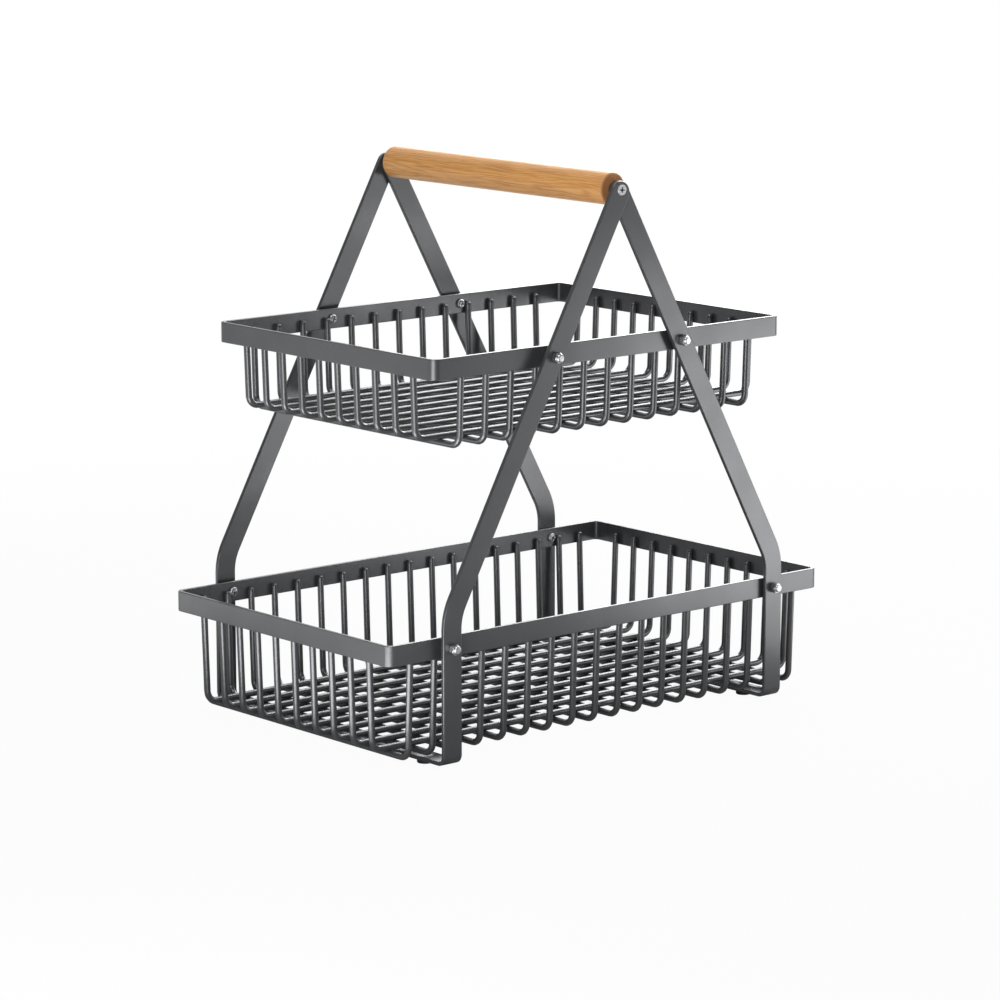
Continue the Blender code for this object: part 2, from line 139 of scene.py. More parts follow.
class BarSizes(bpy.types.PropertyGroup):
    """Flat bar of rims and loops."""
    rim_height: length("Rim height", "Height of the rim's bar", 0.015)
    rim_thickness: length("Rim thickness", "Thickness of the rim's bar", 0.003)
    rim_corner: length("Rim corner", "Outer radius of the rim's corners", 0.006)
    strip_width: length("Strip width", "Width of the loops' bar", 0.0165)
    strip_thickness: length("Strip thickness", "Thickness of the loops' bar", 0.003)
    edge_round: length("Edge rounding", "Rounding of the bars' edges", 0.0006)
    knee_radius: length("Knee radius", "Edgewise bend, on the centre line", 0.042)
    ground_radius: length("Ground bend", "Outer radius of the bend at the ground", 0.007)
    spacer_diameter: length("Spacer diameter", "Between loops and rims", 0.008)
    grip_spacer_diameter: length("Grip spacer diameter", "At the grip's ends", 0.010)


class WireSizes(bpy.types.PropertyGroup):
    """Bent wires of the baskets."""
    diameter: length("Wire diameter", "Diameter of every wire", 0.0048)
    bend_radius: length("Bend radius", "A wire's bends, on its centre line", 0.008)
    lean: degrees("Wall lean", "How far a wall leans outwards", 2.0)
    weld_depth: length("Weld depth", "How far welded wires run into each other", 0.0005)
    long_count: bpy.props.IntProperty(name="Long wires", description="Long wires of each basket",
                                      default=10, min=2)
    lower_margin: length("Lower margin", "Rim to outermost long wire, below", 0.0257)
    upper_margin: length("Upper margin", "Rim to outermost long wire, above", 0.0250)


class GripSizes(bpy.types.PropertyGroup):
    """Turned wooden grip."""
    diameter: length("Grip diameter", "Diameter of the turned bar", 0.0235)
    end_round: length("End rounding", "Rounding of the bar's ends", 0.0018)


class FastenerSizes(bpy.types.PropertyGroup):
    """Screws, cap nuts and feet."""
    wood_head: length("Wood screw head", "Diameter of the countersunk head", 0.0084)
    wood_shank: length("Wood screw shank", "Diameter of the shank", 0.0042)
    wood_length: length("Wood screw length", "From the head's face to the point", 0.030)
    wood_point: length("Wood screw point", "Length of the point", 0.005)
    pan_head: length("Rim screw head", "Diameter of the pan head", 0.007)
    pan_height: length("Rim screw head height", "Height of the pan head", 0.0024)
    screw_shank: length("Rim screw shank", "Diameter of the shank", 0.004)
    recess_reach: length("Recess reach", "Half of a cross slot's length", 0.0026)
    recess_width: length("Recess width", "Width of a cross slot", 0.0015)
    recess_depth: length("Recess depth", "Depth of the cross recess", 0.0023)
    nut_flats: length("Nut across flats", "Width of the hexagon", 0.007)
    nut_hex_height: length("Hexagon height", "Height of the hexagon", 0.0042)
    nut_height: length("Cap nut height", "Height with the dome", 0.006)
    nut_dome: length("Dome diameter", "Diameter of the dome", 0.0062)
    nut_end: length("Dome end", "Diameter of the dome's flat end", 0.0036)
    nut_chamfer: length("Nut chamfer", "Height of the chamfer at a corner", 0.0007)
    bore_depth: length("Nut bore", "Depth of the cap nut's blind bore", 0.0046)
    slack: length("Slack", "Between a shank or a head and its hole", 0.0002)
    foot_diameter: length("Foot diameter", "Diameter of a foot", 0.0115)
    foot_round: length("Foot rounding", "Rounding of a foot's lower edge", 0.0008)
    foot_dimple: length("Foot dimple", "Dimple in a foot's sole", 0.005)


class FinishColours(bpy.types.PropertyGroup):
    """Colours of the finishes."""
    coat: colour("Coat", "Graphite powder coat", (0.102, 0.104, 0.109))
    coat_dark: colour("Coat, darker", "Powder coat where it lies thin", (0.084, 0.086, 0.090))
    fleck: colour("Flecks", "Faint metal flecks in the powder coat", (0.30, 0.31, 0.32))
    wood: colour("Wood", "Early wood of the grip", (0.72, 0.37, 0.115))
    wood_dark: colour("Wood, darker", "Late wood and pores", (0.42, 0.16, 0.038))
    end_grain: colour("End grain", "Cut ends of the grip", (0.42, 0.19, 0.07))
    zinc: colour("Zinc", "Bright zinc plating", (0.55, 0.56, 0.58))
    zinc_dull: colour("Zinc, duller", "Patches of duller zinc plating", (0.42, 0.43, 0.45))
    rubber: colour("Rubber", "Dark moulded rubber", (0.022, 0.022, 0.024))
    dust: colour("Dust", "Dust on the rubber", (0.10, 0.10, 0.10))


class StageLook(bpy.types.PropertyGroup):
    """Camera, floor and lamps."""
    camera_place: bpy.props.FloatVectorProperty(
        name="Camera place", description="Where the camera stands", size=3, subtype="TRANSLATION",
        default=(-1.9201, -2.2433, 0.7130))
    camera_yaw: degrees("Camera yaw", "Turn about the vertical", -40.554)
    camera_pitch: degrees("Camera pitch", "Look downwards", 10.717)
    camera_roll: degrees("Camera roll", "Turn about the view axis", -0.0489)
    lens: number("Lens", "Focal length on a 36 mm sensor", 145.89, subtype="DISTANCE_CAMERA")
    floor_size: length("Floor size", "Side of the square floor", 60.0)
    floor_colour: colour("Floor", "Grey floor, white to the camera", (0.35, 0.35, 0.35))
    background: brightness("Background", "White behind the stand and on the floor", 1.0)
    room: brightness("Room", "Dim studio in front, which only gloss shows", 0.06)
    fill: brightness("Fill", "Soft light of the world", 0.2)
    key: power("Key lamp", "Low lamp at the front right", 0.78)
    side: power("Side lamp", "Lamp on the floor at the back left", 0.4)
    front: power("Front lamp", "Low lamp at the front left", 2.6)
    low: power("Low lamp", "Lamp on the floor at the front left", 2.2)
    right: power("Right lamp", "Lamp on the floor at the front right", 0.7)
    top: power("Top lamp", "Lamp above the front left", 6.5)
    back: power("Back lamp", "Wide lamp at the back right", 7.0)
    overhead: power("Overhead lamp", "Lamp above the back right", 22.0)


GROUPS = (("stand_bar", BarSizes), ("stand_wire", WireSizes), ("stand_grip", GripSizes),
          ("stand_fasteners", FastenerSizes), ("stand_colours", FinishColours),
          ("stand_stage", StageLook))


# Modelling helpers

def settle():
    """Object mode, nothing selected."""
    if bpy.context.object and bpy.context.object.mode != "OBJECT":
        bpy.ops.object.mode_set(mode="OBJECT")
    bpy.ops.object.select_all(action="DESELECT")


def pick(piece):
    """Selects a piece alone."""
    settle()
    piece.select_set(True)
    bpy.context.view_layer.objects.active = piece


def named(name):
    """Names the piece just added."""
    piece = bpy.context.object
    piece.name = name
    piece.data.name = name
    return piece


def edit(piece):
    """Opens a piece in edit mode, all selected."""
    pick(piece)
    bpy.ops.object.mode_set(mode="EDIT")
    bpy.ops.mesh.select_all(action="SELECT")


def choose(piece, kind, test):
    """Selects the open piece's faces or edges that pass a test."""
    bpy.ops.mesh.select_mode(type={"faces": "FACE", "edges": "EDGE"}[kind])
    bpy.ops.mesh.select_all(action="DESELECT")
    bm = bmesh.from_edit_mesh(piece.data)
    for item in getattr(bm, kind):
        if test(item):
            item.select_set(True)
    bmesh.update_edit_mesh(piece.data)


def push(offset):
    """Extrudes what is selected."""
    bpy.ops.mesh.extrude_region_move(TRANSFORM_OT_translate={"value": tuple(offset)})


def swing(centre, axis, angle, steps):
    """Extrudes what is selected round an axis, right-handed."""
    bpy.ops.mesh.spin(steps=steps, angle=-angle, center=tuple(centre), axis=tuple(axis))


def shrink(size, centre):
    """Scales what is selected about a point."""
    bpy.ops.transform.resize(value=(size, size, size), center_override=tuple(centre))


def apply_modifier(piece, kind, **settings):
    """Adds a modifier and applies it."""
    pick(piece)
    modifier = piece.modifiers.new(kind.title(), kind)
    for key, value in settings.items():
        setattr(modifier, key, value)
    bpy.ops.object.modifier_apply(modifier=modifier.name)


def round_edges(piece, width):
    """Rounds every outline edge of a piece."""
    apply_modifier(piece, "BEVEL", width=width, segments=EDGE_SEGMENTS, limit_method="ANGLE",
                   angle_limit=OUTLINE_ANGLE)


def combine(piece, operation, other):
    """Combines a piece with another, which is used up."""
    apply_modifier(piece, "BOOLEAN", operation=operation, solver="EXACT", object=other)
    discard(other)


def cut(piece, cutter):
    combine(piece, "DIFFERENCE", cutter)


def join(pieces, name):
    """Joins pieces into one."""
    settle()
    for piece in pieces:
        piece.select_set(True)
    bpy.context.view_layer.objects.active = pieces[0]
    if len(pieces) > 1:
        bpy.ops.object.join()
    return named(name)


def face_outwards():
    """Turns the open piece's faces outwards and closes it."""
    bpy.ops.mesh.select_all(action="SELECT")
    bpy.ops.mesh.normals_make_consistent(inside=False)
    settle()


def tidy_faces(piece):
    """Merges doubles, turns faces outwards and shades them smooth up to an edge."""
    edit(piece)
    bpy.ops.mesh.remove_doubles(threshold=MERGE)
    face_outwards()
    pick(piece)
    bpy.ops.object.shade_smooth_by_angle(angle=OUTLINE_ANGLE)


def put(piece, place):
    """Carries a piece to its place, in its mesh."""
    piece.matrix_world = place
    pick(piece)
    bpy.ops.object.transform_apply(location=True, rotation=True, scale=True)
    return piece


def copied(piece, name, place):
    """A copy with its own mesh, carried to its place."""
    twin = piece.copy()
    twin.data = piece.data.copy()
    twin.name = name
    twin.data.name = name
    bpy.context.collection.objects.link(twin)
    return put(twin, place)


def discard(piece):
    """Takes a piece out of the scene."""
    bpy.data.objects.remove(piece, do_unlink=True)


def facing(x, y, z, outwards, turn=0.0):
    """A place whose Z axis looks along +Y or -Y, turned about it."""
    tilt = Matrix.Rotation(-outwards * QUARTER, 4, "X")
    return Matrix.Translation((x, y, z)) @ tilt @ Matrix.Rotation(turn, 4, "Z")


def finish_piece(piece, slot, *nodes):
    """Gives a piece its finish, its body and its nodes."""
    apply_modifier(piece, "WEIGHTED_NORMAL", weight=50, keep_sharp=True)
    piece.data.materials.clear()
    piece.data.materials.append(finish_material(slot))
    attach(piece, BODY)
    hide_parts(*nodes)


def set_copy(pattern, name, place, slot, node):
    """Sets a finished copy of a pattern in its place."""
    finish_piece(copied(pattern, name, place), slot, node)


# Finishes

class Socket:
    """A shader socket that takes part in Python sums."""

    def __init__(self, recipe, link):
        self.recipe = recipe
        self.link = link

    def math(self, operation, *values):
        """A sum of this socket and other values."""
        return self.recipe.add("ShaderNodeMath", {"operation": operation},
                               dict(enumerate((self, *values))))[0]

    __add__ = __radd__ = partialmethod(math, "ADD")
    __mul__ = __rmul__ = partialmethod(math, "MULTIPLY")
    __sub__ = partialmethod(math, "SUBTRACT")
    __pow__ = partialmethod(math, "POWER")

    def __rsub__(self, other):
        return self.math("MULTIPLY_ADD", -1.0, other)

    def clamped(self):
        """Kept within 0 and 1."""
        return self.recipe.add("ShaderNodeClamp", {}, {0: self})[0]

    def between(self, low, high):
        """0 below low, 1 above high, smooth between."""
        return self.recipe.add("ShaderNodeMapRange", {"interpolation_type": "SMOOTHSTEP"},
                               {"Value": self, "From Min": low, "From Max": high})[0]


class Recipe:
    """A material's nodes, or a world's."""

    def __init__(self, tree):
        self.tree = tree
        self.tree.nodes.clear()

    def add(self, kind, settings, inputs):
        """Adds a node: settings first, then the values or links of its sockets."""
        node = self.tree.nodes.new(kind)
        for key, value in settings.items():
            setattr(node, key, value)
        for key, value in inputs.items():
            if isinstance(value, Socket):
                self.tree.links.new(value.link, node.inputs[key])
            else:
                node.inputs[key].default_value = value
        return [Socket(self, output) for output in node.outputs]

    def mix_colour(self, amount, first, second):
        """A colour between two."""
        return self.add("ShaderNodeMix", {"data_type": "RGBA"},
                        {0: amount, 6: as_colour(first), 7: as_colour(second)})[2]

    def coordinates(self, kind):
        """Texture coordinates by their socket's name."""
        return named_socket(self.add("ShaderNodeTexCoord", {}, {}), kind)

    def place(self, stretch=(1.0, 1.0, 1.0), shift=(0.0, 0.0, 0.0)):
        """Object coordinates, shifted and stretched."""
        return self.add("ShaderNodeMapping", {}, {
            "Vector": self.coordinates("Object"), "Scale": stretch, "Location": shift})[0]

    def noise(self, where, scale, detail, roughness=0.5):
        """Soft noise, whose scale counts its bumps to the metre."""
        return self.add("ShaderNodeTexNoise", {}, {
            "Vector": where, "Scale": scale, "Detail": detail, "Roughness": roughness})[0]

    def fibres(self, stretch, detail, roughness=0.5):
        """Noise stretched along an axis."""
        return self.noise(self.place(stretch=stretch), 1.0, detail, roughness)

    def split(self, where):
        return self.add("ShaderNodeSeparateXYZ", {}, {0: where})

    def bump(self, height, strength, distance):
        return self.add("ShaderNodeBump", {}, {
            "Height": height, "Strength": strength, "Distance": distance})[0]

    def principled(self, settings):
        self.surface(self.add("ShaderNodeBsdfPrincipled", {}, settings)[0])

    def surface(self, shader):
        self.add("ShaderNodeOutputMaterial", {}, {"Surface": shader})


def as_colour(value):
    """A colour with its alpha, unless it is a socket."""
    return value if isinstance(value, Socket) else (*value[:3], 1.0)


def named_socket(sockets, name):
    """A node's output by its name."""
    return next(socket for socket in sockets if socket.link.name == name)


def new_material(name):
    """An empty material and its recipe."""
    made = bpy.data.materials.new(name)
    made.use_nodes = True
    return made, Recipe(made.node_tree)


def graphite_coat(recipe, tones):
    """Satin graphite powder coat: fine orange peel, faint flecks and uneven gloss."""
    where = recipe.place()
    cloud = recipe.noise(where, scale=30.0, detail=2.0).between(0.2, 0.8)
    fleck = recipe.noise(where, scale=2600.0, detail=1.0).between(0.60, 0.78)
    peel = recipe.noise(where, scale=900.0, detail=2.0, roughness=0.55)
    tone = recipe.mix_colour(cloud * 0.8 + 0.1, tones.coat, tones.coat_dark)
    recipe.principled({
        "Base Color": recipe.mix_colour(fleck * 0.15, tone, tones.fleck),
        "Roughness": 0.27 + 0.03 * cloud - 0.03 * fleck,
        "Metallic": 0.6,
        "Specular IOR Level": 0.6,
        "Normal": recipe.bump(peel, strength=0.12, distance=0.00006),
    })


PITH = (-0.026, -0.010)        # off the grip's axis along X and Z, in metres
PITH_WANDER = (0.012, 0.007)   # the same, more or less along the grip
RING_WAVES = 4400.0            # radians to the metre, on the grip's side
END_RING_WAVES = 5200.0        # the same on its cut ends
END_SKIN = (0.0016, 0.0004)    # how far from an end its darker tone starts, and is full


def oiled_wood(recipe, tones):
    """Oiled hardwood: growth rings about an off-centre pith, fine pores, brown end grain."""
    x, y, z = recipe.split(recipe.place(shift=tuple(-GRIP_AXIS)))
    wander = recipe.fibres((55.0, 7.0, 55.0), detail=3.0)
    pith_x = x - PITH[0] + wander * PITH_WANDER[0]
    pith_z = z - PITH[1] + wander * PITH_WANDER[1]
    radius = (pith_x * pith_x + pith_z * pith_z) ** 0.5
    ring = ((radius * RING_WAVES).math("SINE") * 0.5 + 0.5) ** 2.0
    streak = recipe.fibres((1100.0, 26.0, 1100.0), detail=3.0, roughness=0.65)
    pore = recipe.fibres((2600.0, 70.0, 2600.0), detail=1.0).between(0.58, 0.70)
    grain = (ring * 0.40 + streak.between(0.42, 0.62) * 0.55).clamped()
    tone = recipe.mix_colour(grain * 0.9, tones.wood, tones.wood_dark)
    tone = recipe.mix_colour(pore * 0.4, tone, tones.wood_dark)
    end = y.math("ABSOLUTE").between(GRIP_HALF - END_SKIN[0], GRIP_HALF - END_SKIN[1])
    cut_ring = (radius * END_RING_WAVES).math("SINE") * 0.5 + 0.5
    end_tone = recipe.mix_colour(cut_ring * 0.4, tones.end_grain, tones.wood_dark)
    recipe.principled({
        "Base Color": recipe.mix_colour(end, tone, end_tone),
        "Roughness": 0.38 + 0.10 * grain + 0.2 * end,
        "Specular IOR Level": 0.5,
        "Coat Weight": 0.12,
        "Coat Roughness": 0.30,
        "Normal": recipe.bump(streak * 0.6 - pore * 0.8, strength=0.35, distance=0.0001),
    })


def bright_zinc(recipe, tones):
    """Bright zinc plating with a faint turned grain and duller patches."""
    patch = recipe.noise(recipe.place(), scale=420.0, detail=3.0).between(0.40, 0.70)
    scratch = recipe.fibres((5200.0, 700.0, 1400.0), detail=2.0)
    recipe.principled({
        "Base Color": recipe.mix_colour(patch * 0.35, tones.zinc, tones.zinc_dull),
        "Metallic": 1.0,
        "Roughness": 0.32 + 0.08 * patch + 0.04 * scratch,
        "Normal": recipe.bump(scratch, strength=0.05, distance=0.00003),
    })


def dark_rubber(recipe, tones):
    """Matte moulded rubber, a little dusty."""
    where = recipe.place()
    dust = recipe.noise(where, scale=600.0, detail=3.0).between(0.45, 0.80)
    pebble = recipe.noise(where, scale=2400.0, detail=2.0)
    recipe.principled({
        "Base Color": recipe.mix_colour(dust * 0.25, tones.rubber, tones.dust),
        "Roughness": 0.72 + 0.15 * dust,
        "Specular IOR Level": 0.35,
        "Normal": recipe.bump(pebble, strength=0.3, distance=0.0001),
    })


FINISHES = {   # by slot: the material's name and its recipe
    "graphite_coat": ("graphite_powder_coat", graphite_coat),
    "oiled_wood": ("oiled_turned_wood", oiled_wood),
    "bright_zinc": ("bright_zinc_plate", bright_zinc),
    "dark_rubber": ("dark_moulded_rubber", dark_rubber),
}


def finish_material(slot):
    """A slot's material, made when first asked for."""
    name, fill_in = FINISHES[slot]
    made = bpy.data.materials.get(name)
    if not made:
        made, recipe = new_material(name)
        fill_in(recipe, bpy.context.scene.stand_colours)
    return made


# Stage

SENSOR_WIDTH = 36.0         # mm
WHITE = (1.0, 1.0, 1.0, 1.0)
SURROUNDINGS = (0.3, 1.5)   # where the stand's surroundings fade out, in m2
SHADOW_SHARE = 0.04         # of the floor's own light, seen by the camera in the surroundings
LEFT_SHARE = 0.9            # of white in the left glow
LEFT_FADE = 0.1             # of the left glow, past the surroundings
RIGHT_FADE = 0.8            # of the right glow, past them

# Where metal mirrors white: the way there along X and Y, and where on it the white starts and is
# full, on the floor in metres. The glows are painted pools of light on the floor, which only gloss
# sees, and the metal mirrors them as painted highlights.
WhiteSide = namedtuple("WhiteSide", "way start full")
BACKDROP = WhiteSide((0.65, 0.76), 0.1, 0.7)
FLOOR_BACKDROP = WhiteSide((0.65, 0.76), 0.0, 0.7)
LEFT_GLOW = WhiteSide((-1.0, 0.0), 0.15, 0.5)
RIGHT_GLOW = WhiteSide((1.0, 0.0), 0.1, 0.55)
FRONT_GLOW = WhiteSide((0.0, -1.0), 0.05, 0.3)
FAR_RIGHT_GLOW = WhiteSide((0.9, 0.45), 0.2, 0.5)

# Soft lamps, by the name of their watts. Those at 4 mm lie on the floor and face up.
Lamp = namedtuple("Lamp", "width height place aim")
LAMPS = {
    "key": Lamp(0.3, 0.26, (0.45, -0.41, 0.14), (0.1, -0.1, 0.12)),
    "side": Lamp(0.3, 0.3, (-0.52, 0.5, 0.004), (-0.52, 0.5, 1.0)),
    "front": Lamp(0.5, 0.3, (-0.72, -0.5, 0.16), (-0.1, -0.05, 0.08)),
    "low": Lamp(0.3, 0.3, (-0.43, -0.16, 0.004), (-0.43, -0.16, 1.0)),
    "right": Lamp(0.25, 0.35, (0.4, -0.37, 0.004), (0.4, -0.37, 1.0)),
    "top": Lamp(0.6, 0.6, (-0.45, -0.35, 1.25), (0, 0, 0.3)),
    "back": Lamp(0.9, 0.5, (1.05, 0.75, 0.62), (0, 0, 0.1)),
    "overhead": Lamp(0.95, 0.95, (0.9, 0.3, 1.1), (0, 0, 0.2)),
}


def soft_lamp(name, watts, lamp):
    """A soft rectangular lamp, unseen by the camera."""
    light = bpy.data.lights.new(name, "AREA")
    light.shape = "RECTANGLE"
    light.size = lamp.width
    light.size_y = lamp.height
    light.energy = watts
    piece = bpy.data.objects.new(name, light)
    bpy.context.collection.objects.link(piece)
    piece.location = lamp.place
    way = Vector(lamp.aim) - Vector(lamp.place)
    piece.rotation_euler = way.to_track_quat("-Z", "Y").to_euler()
    piece.visible_camera = False


def ray_kinds(recipe):
    """1 for what the camera sees, and 1 for what gloss or glass shows."""
    rays = recipe.add("ShaderNodeLightPath", {}, {})
    camera, gloss, glass = [named_socket(rays, name) for name in
                            ("Is Camera Ray", "Is Glossy Ray", "Is Transmission Ray")]
    return camera, (gloss + glass).clamped()


def white_side(recipe, where, side):
    """1 on a white side of the studio, 0 where it is dim."""
    x, y, _ = recipe.split(where)
    return (x * side.way[0] + y * side.way[1]).between(side.start, side.full)


def studio_world(look):
    """White for the camera, a white and a dim side for gloss, and soft light."""
    world = bpy.data.worlds.new("studio")
    world.use_nodes = True
    bpy.context.scene.world = world
    recipe = Recipe(world.node_tree)
    camera, gloss = ray_kinds(recipe)
    side = white_side(recipe, recipe.coordinates("Generated"), BACKDROP)
    shown = side * (look.background - look.room) + look.room
    light = camera * look.background + gloss * shown + (1.0 - camera - gloss) * look.fill
    shader = recipe.add("ShaderNodeBackground", {}, {"Color": WHITE, "Strength": light})[0]
    recipe.add("ShaderNodeOutputWorld", {}, {"Surface": shader})


def floor_paint(look):
    """Grey floor, white with a faint shadow to the camera, with painted pools of light that only
    gloss sees.
    """
    made, recipe = new_material("studio_floor")
    camera, gloss = ray_kinds(recipe)
    where = recipe.coordinates("Object")
    x, y, _ = recipe.split(where)
    away = (x * x + y * y).between(*SURROUNDINGS)
    backdrop, left, right, front, far_right = [white_side(recipe, where, side) for side in (
        FLOOR_BACKDROP, LEFT_GLOW, RIGHT_GLOW, FRONT_GLOW, FAR_RIGHT_GLOW)]
    # The left, front right and far right glows are painted pools of light on the floor, seen only
    # in gloss
    left = left * (1.0 - LEFT_FADE * away)
    right = right * front * (1.0 - RIGHT_FADE * away)
    mirrored = (backdrop + LEFT_SHARE * left + right + far_right).clamped()
    plain = recipe.add("ShaderNodeBsdfDiffuse", {}, {"Color": as_colour(look.floor_colour)})[0]
    glow = recipe.add("ShaderNodeEmission", {}, {"Color": WHITE, "Strength": look.background})[0]
    white = camera * (1.0 - SHADOW_SHARE + SHADOW_SHARE * away) + gloss * mirrored
    recipe.surface(recipe.add("ShaderNodeMixShader", {}, {0: white, 1: plain, 2: glow})[0])
    return made


class STAND_OT_stage(bpy.types.Operator):
    """Sets up the floor, the lamps and the camera"""
    bl_idname = "stand.set_stage"
    bl_label = "Set the Stage"

    def execute(self, context):
        look = context.scene.stand_stage
        floor = square("studio_floor", look.floor_size)
        floor.data.materials.append(floor_paint(look))
        studio_world(look)
        for name, lamp in LAMPS.items():
            soft_lamp(f"{name}_lamp", getattr(look, name), lamp)
        self.set_camera(look)
        context.scene.view_settings.view_transform = "Standard"
        return {"FINISHED"}

    def set_camera(self, look):
        """Stands the camera where the photograph was taken."""
        camera = bpy.data.cameras.new("photo_camera")
        camera.lens = look.lens
        camera.sensor_width = SENSOR_WIDTH
        camera.clip_end = look.floor_size
        eye = bpy.data.objects.new("photo_camera", camera)
        bpy.context.collection.objects.link(eye)
        yaw = Matrix.Rotation(look.camera_yaw, 4, "Z")
        pitch = Matrix.Rotation(QUARTER - look.camera_pitch, 4, "X")
        roll = Matrix.Rotation(look.camera_roll, 4, "Z")
        eye.matrix_world = Matrix.Translation(look.camera_place) @ (yaw @ pitch) @ roll
        bpy.context.scene.camera = eye


# Simple solids

EDGE_SEGMENTS = 3
PIN_SIDES = 32


def square(name, size=2):
    """A level square about the origin."""
    settle()
    bpy.ops.mesh.primitive_plane_add(size=size, location=(0, 0, 0))
    return named(name)


def disc(name, sides, radius, tilt=0.0):
    """A disc about the origin, turned about Y."""
    settle()
    bpy.ops.mesh.primitive_circle_add(vertices=sides, radius=radius, fill_type="NGON",
                                      location=(0, 0, 0), rotation=(0, tilt, 0))
    return named(name)


def turned(name, profile, sides):
    """A closed solid turned about Z, from steps of level and radius."""
    level, radius = profile[0]
    piece = put(disc(name, sides, radius), Matrix.Translation((0, 0, level)))
    edit(piece)
    for next_level, next_radius in profile[1:]:
        push((0, 0, next_level - level))
        if next_radius != radius:
            shrink(next_radius / radius, (0, 0, next_level))
        level, radius = next_level, next_radius
    face_outwards()
    return piece


def quarter_round(level, radius, round_by, upwards):
    """Steps of a rounded edge: upwards is 1 where it closes towards +Z."""
    steps = []
    for step in range(EDGE_SEGMENTS + 1):
        angle = QUARTER * step / EDGE_SEGMENTS
        steps.append((level - upwards * round_by * (1 - math.sin(angle)),
                      radius - round_by * (1 - math.cos(angle))))
    return steps if upwards > 0 else steps[::-1]


def rounded_bar(name, low, high, radius, low_round, high_round, sides):
    """A turned bar with rounded ends."""
    profile = quarter_round(low, radius, low_round, -1) + quarter_round(high, radius, high_round, 1)
    return turned(name, profile, sides)


def pins(places, diameter, depth):
    """Round pins, each from its place along that place's Z axis."""
    made = []
    for place in places:
        pin = turned("pin", [(0, diameter / 2), (depth, diameter / 2)], PIN_SIDES)
        made.append(put(pin, place))
    return join(made, "pins")


# Rims

CORNER_SEGMENTS = 8


def rim_bar(tier, bar, screws):
    """Flat bar bent to a rounded rectangle, with its four screw holes."""
    piece = square(f"{tier.name}_rim_bar")
    put(piece, Matrix.Translation((0, 0, tier.rim_top - bar.rim_height))
        @ Matrix.Diagonal((tier.half_length, tier.half_depth, 1, 1)))
    edit(piece)
    bpy.ops.mesh.bevel(offset=bar.rim_corner, offset_type="OFFSET", segments=CORNER_SEGMENTS,
                       affect="VERTICES")
    bpy.ops.mesh.delete(type="ONLY_FACE")
    bpy.ops.mesh.select_all(action="SELECT")
    push((0, 0, bar.rim_height))
    face_outwards()
    apply_modifier(piece, "SOLIDIFY", thickness=bar.rim_thickness, offset=-1.0,
                   use_even_offset=True)
    round_edges(piece, bar.edge_round)
    start = tier.half_depth - 2 * bar.rim_thickness
    places = [facing(side * tier.screw_x, end * start, tier.screw_level, end)
              for _, side in SIDES for _, end in ENDS]
    cut(piece, pins(places, screws.screw_shank + 2 * screws.slack, 3 * bar.rim_thickness))
    tidy_faces(piece)
    return piece


class STAND_OT_rims(bpy.types.Operator):
    """Bends the flat bar of both rims"""
    bl_idname = "stand.make_rims"
    bl_label = "Rims"

    def execute(self, context):
        scene = context.scene
        for tier in TIERS:
            piece = rim_bar(tier, scene.stand_bar, scene.stand_fasteners)
            finish_piece(piece, "graphite_coat", f"{tier.name}_rim")
        return {"FINISHED"}


# Wires

WIRE_SIDES = 16
BEND_STEPS = 8
DOME_STEPS = 3


def wall_line(half_size, scene):
    """How far out a wire welded inside the rim has its centre line."""
    wire = scene.stand_wire
    return half_size - scene.stand_bar.rim_thickness - wire.diameter / 2 + wire.weld_depth


def bent_wire(name, half_span, rise, wire):
    """A U-bent wire along X, its floor's centre line through the origin, its tips at a rise.

    half_span is how far from the middle a wall's centre line ends.
    """
    radius = wire.diameter / 2
    bend = QUARTER - wire.lean
    setback = wire.bend_radius * math.tan(bend / 2)
    floor_half = half_span - rise * math.tan(wire.lean)
    upwards = Vector((math.sin(wire.lean), 0, math.cos(wire.lean)))
    wall = rise / math.cos(wire.lean) - setback
    piece = disc(name, WIRE_SIDES, radius, QUARTER)
    put(piece, piece.matrix_world.copy())
    edit(piece)
    push((floor_half - setback, 0, 0))
    swing((floor_half - setback, 0, wire.bend_radius), (0, 1, 0), -bend, BEND_STEPS)
    push(upwards * (wall - radius))
    tip = Vector((half_span, 0, rise)) - upwards * radius
    width = 1.0
    height = 0.0
    for step in range(1, DOME_STEPS + 1):
        angle = QUARTER * step / (DOME_STEPS + 1)
        push(upwards * (math.sin(angle) * radius - height))
        height = math.sin(angle) * radius
        shrink(math.cos(angle) / width, tip + upwards * height)
        width = math.cos(angle)
    choose(piece, "faces", lambda face: abs(face.calc_center_median().x) < MERGE)
    bpy.ops.mesh.delete(type="ONLY_FACE")
    settle()
    apply_modifier(piece, "MIRROR", use_axis=(True, False, False), merge_threshold=MERGE,
                   use_mirror_merge=True)
    tidy_faces(piece)
    return piece


class STAND_OT_cross_wires(bpy.types.Operator):
    """Bends the wires across the baskets"""
    bl_idname = "stand.make_cross_wires"
    bl_label = "Cross Wires"

    def execute(self, context):
        scene = context.scene
        wire = scene.stand_wire
        quarter_turn = Matrix.Rotation(QUARTER, 4, "Z")
        for tier in TIERS:
            wall = wall_line(tier.half_depth, scene)
            pattern = bent_wire("cross_wire_pattern", wall, tier.tip_level - tier.cross_floor, wire)
            for count, x in enumerate(tier.cross_places, 1):
                place = Matrix.Translation((x, 0, tier.cross_floor)) @ quarter_turn
                set_copy(pattern, f"{tier.name}_wire_across_{count:02d}", place,
                         "graphite_coat", f"{tier.name}_cross_wire_{count:02d}")
            discard(pattern)
        return {"FINISHED"}


